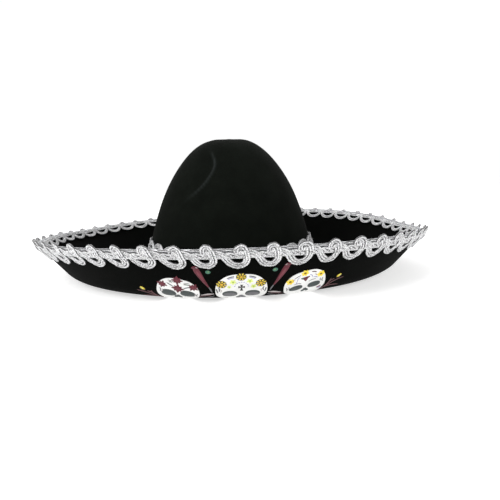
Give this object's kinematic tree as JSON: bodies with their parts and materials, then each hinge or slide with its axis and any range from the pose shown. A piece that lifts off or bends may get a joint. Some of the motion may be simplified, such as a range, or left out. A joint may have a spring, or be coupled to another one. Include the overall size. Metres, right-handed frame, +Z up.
{
  "type": "sombrero",
  "caption": "Felt sombrero with a tall rounded crown, an upturned tray brim, looped silver braid on rim and crown, and sugar-skull prints on the front.",
  "frame": {"origin": "on the hat's axis, in the plane of the flat underside of the brim that it stands on", "axes": "+Z up through the crown, -Y towards the printed front, +X to the right as seen from the front"},
  "size_m": [0.39, 0.3898, 0.1301],
  "materials": {
    "felt": "matte brushed felt",
    "silver_gimp": "metallic wrapped thread",
    "sweatband_tape": "ribbed tape",
    "rim_wire_steel": "drawn wire",
    "print_white": "satin transfer film",
    "print_maroon": "satin transfer film",
    "print_green": "satin transfer film",
    "print_yellow": "satin transfer film"
  },
  "bodies": {
    "root": {"crown_shell": "felt", "brim": "felt", "sweatband": "sweatband_tape", "rim_wire": "rim_wire_steel", "rim_braid_outer_band": "silver_gimp", "rim_braid_crest": "silver_gimp", "rim_braid_outer_loops": "silver_gimp", "rim_braid_inner_loops": "silver_gimp", "hatband_band": "silver_gimp", "hatband_upper_loops": "silver_gimp", "hatband_lower_loops": "silver_gimp", "skull_print_centre": "print_white", "skull_print_left": "print_white", "skull_print_right": "print_white", "streak_print_left": "print_maroon", "streak_print_right": "print_maroon", "dot_print_left": "print_green", "dot_print_right": "print_green", "bud_print_left": "print_yellow", "bud_print_right": "print_yellow", "twig_print_left": "print_maroon", "twig_print_right": "print_maroon", "stroke_print_left": "print_white", "stroke_print_right": "print_white"}
  },
  "joints": []
}
